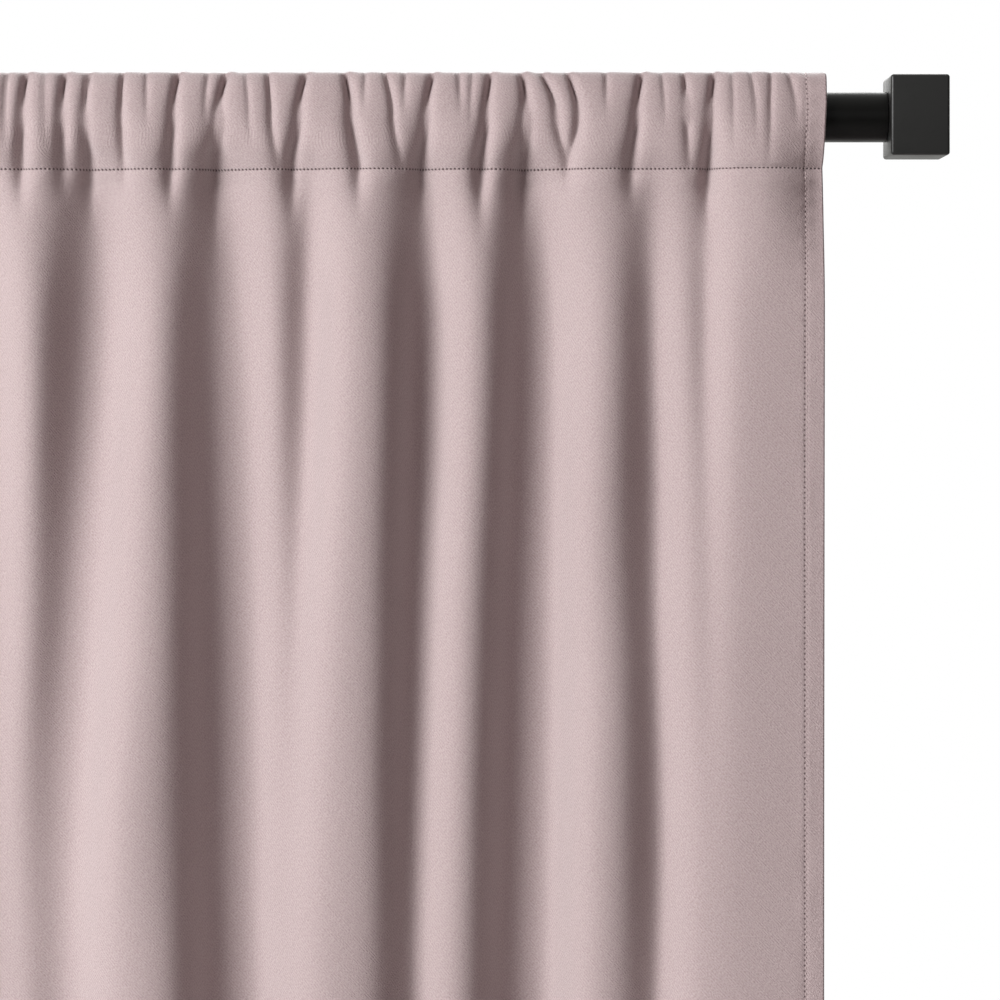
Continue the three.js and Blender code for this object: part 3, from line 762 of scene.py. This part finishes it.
def cloth_material():
    """Dull mauve blackout twill: fine broken diagonal ribs, needle holes along the stitch lines, dented in
    the bump and painted near black as shade.
    """
    n = Finish("mauve_twill")
    uv = n.add("ShaderNodeUVMap", uv_map="UVMap").outputs[0]
    parts = n.add("ShaderNodeSeparateXYZ", {0: uv})
    u, v = parts.outputs[0], parts.outputs[1]
    across = n.math("MULTIPLY", n.math("SUBTRACT", u, v), 0.7071)
    along = n.math("MULTIPLY", n.math("ADD", u, v), 0.7071)
    ribs = twill_ribs(n, across, along)
    yarn_phase = n.math("MULTIPLY", across, 2 * math.pi / 0.00062)
    yarn = n.math("SINE", n.math("ADD", yarn_phase, n.math("MULTIPLY", ribs, 9.0)))
    fleck = n.math("MULTIPLY", n.math("SUBTRACT", n.noise(uv, 1500.0, 2.0), 0.5), 0.9)
    slow = n.math("MULTIPLY", n.math("SUBTRACT", n.noise(uv, 9.0, 2.0), 0.5), 0.4)
    tone = n.math("ADD", n.math("ADD", n.ramp(ribs, 0.3, 0.7, -0.7, 0.7), fleck), slow)
    base = n.mix(n.ramp(tone, -1.0, 1.0), (0.345, 0.264, 0.267, 1), (0.505, 0.420, 0.419, 1))
    hole_dents_and_shade = needle_hole_dents_and_shade(n, u, v)
    # painted shade: the near-black colour in the needle holes stands in for the shade inside them
    colour = n.mix(n.math("MULTIPLY", hole_dents_and_shade, 0.92), base, (0.04, 0.015, 0.018, 1))
    height = n.math("ADD", ribs, n.math("MULTIPLY", yarn, 0.12))
    height = n.math("SUBTRACT", height, n.math("MULTIPLY", hole_dents_and_shade, 0.8))
    rough = n.ramp(ribs, 0.2, 0.8, 0.86, 0.74)
    n.set(Base_Color=colour, Roughness=rough, Normal=n.bump(height, 0.8, 0.00036))
    n.set(Sheen_Weight=0.80, Sheen_Roughness=0.45, Sheen_Tint=(1.0, 1.0, 1.0, 1), Specular_IOR_Level=0.18)
    return n.material


def twill_ribs(n, across, along):
    """Height of the ribs: short streaks along the diagonal with a faint regular beat."""
    streak = {0: n.math("MULTIPLY", across, 1 / 0.00074), 1: n.math("MULTIPLY", along, 1 / 0.00115)}
    broken = n.noise(n.add("ShaderNodeCombineXYZ", streak).outputs[0], 1.0, 1.5)
    phase = n.math("MULTIPLY_ADD", across, 2 * math.pi / 0.00135, n.math("MULTIPLY", broken, 7.0))
    return n.math("MULTIPLY_ADD", n.math("SINE", phase), 0.08, broken)


def needle_hole_dents_and_shade(n, u, v):
    """1 in the small holes between the stitches, along v = 0 and along both side hems; where it is 1 the
    colour gets painted shade, near black, and the bump a dent.
    """
    pocket = n.distance(from_hole(n, u, POCKET_PITCH), n.math("ABSOLUTE", v))
    inward = n.math("ABSOLUTE", u)
    outer = n.math("ABSOLUTE", n.math("SUBTRACT", inward, SIDE_STITCH))
    leading = n.math("ABSOLUTE", n.math("SUBTRACT", inward, FLAT_WIDTH - SIDE_STITCH))
    side = n.distance(from_hole(n, v, HEM_PITCH), n.math("MINIMUM", outer, leading))
    return n.math("MAXIMUM", n.ramp(pocket, 0.0008, 0.0004), n.ramp(side, 0.0007, 0.0003, 0, 0.75))


def from_hole(n, length, pitch):
    """How far a place along a stitch line is from the nearest hole, half way between two stitches."""
    step = n.math("FRACT", n.math("DIVIDE", length, pitch))
    return n.math("MULTIPLY", n.math("ABSOLUTE", n.math("SUBTRACT", step, 0.5)), pitch)


def thread_material():
    n = Finish("mauve_thread")
    twist = n.noise(n.place(), 2600.0, 1.0)
    colour = n.mix(twist, (0.36, 0.28, 0.28, 1), (0.54, 0.45, 0.44, 1))
    n.set(Base_Color=colour, Roughness=n.ramp(twist, 0, 1, 0.45, 0.65), Normal=n.bump(twist, 0.4, 0.0001))
    n.set(Sheen_Weight=0.2)
    return n.material


def powder_coat_material(name, shade, smooth, gloss):
    """Matt black powder coat with a fine orange peel, of a mean brightness and a mean roughness."""
    n = Finish(name)
    place = n.place()
    peel = n.noise(place, 900.0, 3.0)
    cloud = n.noise(place, 60.0, 2.0)
    dark = (shade * 0.7, shade * 0.68, shade * 0.62, 1)
    pale = (shade * 1.5, shade * 1.46, shade * 1.36, 1)
    rough = n.ramp(peel, 0.3, 0.7, smooth - 0.04, smooth + 0.04)
    rough = n.math("ADD", rough, n.ramp(cloud, 0.3, 0.7, -0.03, 0.03))
    colour = n.mix(n.math("MULTIPLY", cloud, peel), dark, pale)
    n.set(Base_Color=colour, Roughness=rough, Normal=n.bump(peel, 0.35, 0.0001), Specular_IOR_Level=gloss)
    return n.material


def zinc_material():
    n = Finish("zinc_steel")
    place = n.place()
    grain = n.noise(place, 1400.0, 4.0)
    colour = n.mix(n.noise(place, 120.0, 3.0), (0.47, 0.48, 0.50, 1), (0.62, 0.61, 0.58, 1))
    rough = n.ramp(grain, 0.3, 0.7, 0.26, 0.42)
    n.set(Base_Color=colour, Roughness=rough, Normal=n.bump(grain, 0.2, 0.0001), Metallic=1.0)
    return n.material


def nylon_material():
    n = Finish("black_nylon")
    grain = n.noise(n.place(), 1100.0, 4.0)
    colour = n.mix(grain, (0.018, 0.018, 0.019, 1), (0.032, 0.031, 0.031, 1))
    rough = n.ramp(grain, 0.3, 0.7, 0.5, 0.64)
    n.set(Base_Color=colour, Roughness=rough, Normal=n.bump(grain, 0.5, 0.0001))
    return n.material


def floor_material():
    """Pale, and fading out with the distance from the object."""
    n = Finish("pale_floor")
    place = n.place()
    colour = n.mix(n.noise(place, 3.0, 3.0), (0.80, 0.80, 0.79, 1), (0.84, 0.84, 0.83, 1))
    away = n.add("ShaderNodeVectorMath", {0: place}, operation="LENGTH").outputs["Value"]
    n.set(Base_Color=colour, Roughness=0.7, Alpha=n.ramp(away, 3.0, 2.0))
    return n.material


# ---------------------------------------------------------------- the panels


# A section of a panel: its piece's name, its body and the CAD nodes that it stands for.
SECTIONS = {
    "outer": ("outer_edge_cloth", "panel", ("outer_hem", "outer_pocket_end")),
    "main": ("gathered_cloth", "panel", ("cloth", "rod_pocket", "bottom_hem")),
    "leading": ("leading_edge_cloth", "leading_edge", ("leading_hem", "leading_pocket_end")),
}


def build_panel(side, seed, cloth_look, thread_look):
    panel = Panel(side, seed)
    last = len(panel.place) - 1
    cut = int(np.argmin(np.abs(panel.place - (OUTER_EDGE - ANCHOR))))
    lead = int(np.argmin(np.abs(panel.place - (PANEL_WIDTH - SIDE_HEM))))
    for part, start, end in (("outer", 0, cut), ("main", cut, lead), ("leading", lead, last)):
        build_section(panel, part, start, end, cloth_look, thread_look)


def build_section(panel, part, start, end, cloth_look, thread_look):
    side = panel.side
    name, body, replaced = SECTIONS[part]
    points, facing, cloth, mask = panel.grid(start, end)
    sheet = sheet_object(f"{side}_{name}", points, facing, cloth, mask, side == "right")
    sheet.data.materials.append(cloth_look)
    thread = section_threads(panel, part, start, end)
    thread.data.materials.append(thread_look)
    for piece in (sheet, thread):
        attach(piece, f"{side}_{body}")
        if part == "main":
            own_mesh(piece)
    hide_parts(*[f"{side}_{node}" for node in replaced])
    share = float(np.abs(panel.across[panel.stitch, end] - panel.across[panel.stitch, start]))
    if part != "main":
        share += SIDE_HEM


def section_threads(panel, part, start, end):
    """The stitches of one section: the pocket's line on both layers, the side hem's and the bottom hem's."""
    side = panel.side
    lines = []

    def line(rows, columns, length, pitch, skew):
        normals = panel.normals[rows, columns]
        points = panel.points[rows, columns] + normals * CLOTH / 2
        lines.append(stitches("line", points, normals, length, pitch, skew))

    hem_row = int(np.argmin(np.abs(panel.path[:, 1] - HEM_TOP_Z + BOTTOM_STITCH)))
    columns = np.arange(start, end + 1)[:: 1 if side == "left" else -1]
    for row in (panel.stitch, panel.seam):
        line(row, columns, panel.across[row, columns], POCKET_PITCH, 0.6)
    line(hem_row, columns, panel.across[hem_row, columns], HEM_PITCH, 0.1)
    edge = {"outer": SIDE_STITCH, "leading": PANEL_WIDTH - SIDE_STITCH}.get(part)
    if edge is not None:
        column = int(np.argmin(np.abs(panel.place - edge)))
        for rows in (np.arange(panel.top, panel.stitch), np.arange(panel.stitch + 1, len(panel.path))):
            line(rows, column, panel.along[rows], HEM_PITCH, 0.3)
    return joined_objects(f"{side}_{part}_stitching", lines)


# ---------------------------------------------------------------- rod and finials


def turned(name, profile, sides=96):
    """A piece turned round the rod's axis from (along the rod, radius) points, closed on itself."""
    angles = np.linspace(0, 2 * math.pi, sides, endpoint=False)
    vertices = []
    for x, radius in profile:
        for a in angles:
            vertices.append((x, ROD_Y + radius * math.cos(a), ROD_Z + radius * math.sin(a)))
    count = len(profile)
    faces = []
    for i in range(count):
        j = (i + 1) % count
        for k in range(sides):
            m = (k + 1) % sides
            faces.append((i * sides + k, j * sides + k, j * sides + m, i * sides + m))
    made = mesh_object(name, np.array(vertices), faces)
    smooth_by_angle(made, 35)
    return made


def smooth_by_angle(made, degrees):
    made.data.polygons.foreach_set("use_smooth", np.ones(len(made.data.polygons), bool))
    made.data.set_sharp_from_angle(angle=math.radians(degrees))


def tube(name, node, body, look):
    """A length of rod with its ends deburred."""
    low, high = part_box(node)
    radius = (high.z - low.z) / 2
    stops = np.linspace(low.x + BURR, high.x - BURR, 40)
    outside = [(x, radius) for x in stops]
    inside = [(x, radius - TUBE_WALL) for x in stops[::-1]]
    ends = [(high.x, radius - BURR), (high.x, radius - TUBE_WALL + BURR)]
    starts = [(low.x, radius - TUBE_WALL + BURR), (low.x, radius - BURR)]
    made = turned(name, outside + ends + inside + starts)
    made.data.materials.append(look)
    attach(made, body)
    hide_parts(node)


def finial(side, look):
    """A square block with its edges broken, bored for its stud."""
    low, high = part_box(f"{side}_finial")
    stud_low, stud_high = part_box(f"{side}_finial_stud")
    inner, outer = (low.x, high.x) if side == "right" else (high.x, low.x)
    tip = stud_high.x if side == "right" else stud_low.x
    sign = 1 if side == "right" else -1
    half = (high.z - low.z) / 2
    bore = (stud_high.z - stud_low.z) / 2 + BORE_ROOM
    made = rounded_block(f"{side}_block_finial", inner, outer, half, bore, tip + sign * 0.3 * MM)
    made.data.materials.append(look)
    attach(made, f"{side}_finial_turned")
    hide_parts(f"{side}_finial")


def rounded_block(name, inner, outer, half, bore, bore_end):
    """A square block along the rod from inner to outer, its edges rounded, with a blind bore."""
    bm = bmesh.new()
    bmesh.ops.create_cube(bm, size=1)
    for v in bm.verts:
        x = (inner + outer) / 2 + v.co.x * abs(outer - inner)
        v.co = Vector((x, ROD_Y + v.co.y * 2 * half, ROD_Z + v.co.z * 2 * half))
    bmesh.ops.bevel(bm, geom=bm.edges[:], offset=FINIAL_EDGE, segments=5, profile=0.5, affect="EDGES")
    add_bore(bm, inner, 1 if outer > inner else -1, bore, bore_end)
    bmesh.ops.recalc_face_normals(bm, faces=bm.faces[:])
    mesh = bpy.data.meshes.new(name)
    bm.to_mesh(mesh)
    bm.free()
    made = bpy.data.objects.new(name, mesh)
    bpy.context.scene.collection.objects.link(made)
    smooth_by_angle(made, 40)
    return made


def add_bore(bm, inner, sign, bore, bore_end):
    """Open the block's inner face and join it to a blind hole with a small chamfer."""
    face = max(bm.faces, key=lambda f: -f.normal.x * sign * f.calc_area())
    bmesh.ops.delete(bm, geom=[face], context="FACES_ONLY")
    rim = [v for v in bm.verts if abs(v.co.x - inner) < 1e-6]
    rim.sort(key=lambda v: math.atan2(v.co.z - ROD_Z, v.co.y - ROD_Y))
    mouth = (inner, bore + BORE_CHAMFER)
    neck = (inner + sign * BORE_CHAMFER, bore)
    rings = [bore_ring(bm, x, radius) for x, radius in (mouth, neck, (bore_end, bore))]
    edges = []
    for loop in (rim, rings[0]):
        for v, w in zip(loop, loop[1:] + loop[:1]):
            edges.append(bm.edges.get((v, w)) or bm.edges.new((v, w)))
    bmesh.ops.triangle_fill(bm, use_beauty=True, use_dissolve=False, edges=edges)
    for near, far in zip(rings, rings[1:]):
        for k in range(len(near)):
            m = (k + 1) % len(near)
            bm.faces.new((near[k], near[m], far[m], far[k]))
    bm.faces.new(rings[-1])


def bore_ring(bm, x, radius, sides=48):
    """A ring of vertices round the rod's axis, started where the block's corners are sorted from."""
    ring = []
    for k in range(sides):
        a = -math.pi + 2 * math.pi * (k + 0.5) / sides
        ring.append(bm.verts.new((x, ROD_Y + radius * math.cos(a), ROD_Z + radius * math.sin(a))))
    return ring


def finish_hardware(looks):
    """Procedural finishes on the CAD nodes that stay."""
    for name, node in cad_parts.items():
        if node.hide_render:
            continue
        node.data.materials.clear()
        node.data.materials.append(looks[slot_of(name)])


def slot_of(name):
    if name.endswith(("wall_screw", "finial_stud")):
        return "zinc_steel"
    if name.endswith("end_plug"):
        return "black_nylon"
    return "black_powder_coat"


# ---------------------------------------------------------------- studio


def studio():
    low = BOTTOM_Z - FLOOR_GAP
    corners = np.array([(-1, -1, 0), (1, -1, 0), (1, 1, 0), (-1, 1, 0)]) * FLOOR_HALF + (0, 0, low)
    floor = mesh_object("floor", corners, [(0, 1, 2, 3)])
    floor.data.materials.append(floor_material())
    area_light("key", (-2.2, -2.3, 0.8), (0.5, ROD_Y, -0.25), 1.9, 196)
    area_light("fill", (1.6, -3.0, 0.4), (0.4, ROD_Y, -0.4), 2.0, 7)
    area_light("back", (0.8, 2.8, 1.2), (0.0, ROD_Y, -0.6), 2.5, 60)
    white_world()


def area_light(name, place, target, size, power):
    data = bpy.data.lights.new(name, "AREA")
    data.shape = "DISK"
    data.size = size
    data.energy = power
    light = bpy.data.objects.new(name, data)
    light.location = place
    light.rotation_euler = (Vector(target) - Vector(place)).to_track_quat("-Z", "Y").to_euler()
    bpy.context.scene.collection.objects.link(light)


def white_world():
    """White behind the object, and a dimmer light all round it, which is stronger from above and below."""
    world = bpy.data.worlds.new("studio")
    bpy.context.scene.world = world
    world.use_nodes = True
    n = Nodes(world.node_tree)
    path = n.add("ShaderNodeLightPath")
    glossy, seen = path.outputs["Is Glossy Ray"], path.outputs["Is Camera Ray"]
    direction = n.add("ShaderNodeTexCoord").outputs["Generated"]
    toward = n.add("ShaderNodeSeparateXYZ", {0: direction})
    steep = n.math("POWER", n.math("ABSOLUTE", toward.outputs[2]), 2.0)
    light = n.math("MULTIPLY_ADD", steep, 0.30, 0.045)
    all_round = n.math("MULTIPLY", light, n.math("MULTIPLY_ADD", glossy, 2.5, 1.0))
    wall = n.math("MULTIPLY", n.math("MAXIMUM", toward.outputs[1], 0.0), glossy)
    background = n.tree.nodes["Background"]
    n.put(background.inputs["Strength"], n.math("MULTIPLY_ADD", wall, 0.7, all_round))
    n.put(background.inputs["Color"], n.mix(glossy, (1, 0.62, 0.63, 1), (1, 1, 0.96, 1)))
    white = n.add("ShaderNodeBackground", {"Color": (1, 1, 1, 1), "Strength": 1.0})
    mix = n.add("ShaderNodeMixShader", {0: seen, 1: background.outputs[0], 2: white.outputs[0]})
    n.put(n.tree.nodes["World Output"].inputs["Surface"], mix.outputs[0])


def camera():
    """Level, straight at the wall, on the panel's upper outer corner."""
    data = bpy.data.cameras.new("camera")
    data.lens = 143.3
    data.shift_x = 0.023
    data.shift_y = -0.10
    made = bpy.data.objects.new("camera", data)
    made.location = (OUTER_EDGE - 0.1747, ROD_Y - 2.01, ROD_Z - 0.1428)
    made.rotation_euler = (math.pi / 2, 0, 0)
    bpy.context.scene.collection.objects.link(made)
    bpy.context.scene.camera = made


def main():
    bpy.context.scene.view_settings.view_transform = "Standard"
    camera()
    looks = {
        "mauve_cloth": cloth_material(),
        "black_powder_coat": powder_coat_material("black_powder_coat", 0.0042, 0.46, 0.45),
        "zinc_steel": zinc_material(),
        "black_nylon": nylon_material(),
    }
    thread_look = thread_material()
    tube_look = powder_coat_material("black_tube_coat", 0.0028, 0.33, 0.12)
    build_panel("right", 11, looks["mauve_cloth"], thread_look)
    build_panel("left", 29, looks["mauve_cloth"], thread_look)
    tube("rod_outer_tube", "outer_tube", "rod_frame", tube_look)
    tube("rod_inner_tube", "inner_tube", "inner_rod", tube_look)
    finial("right", looks["black_powder_coat"])
    finial("left", looks["black_powder_coat"])
    finish_hardware(looks)
    studio()


main()
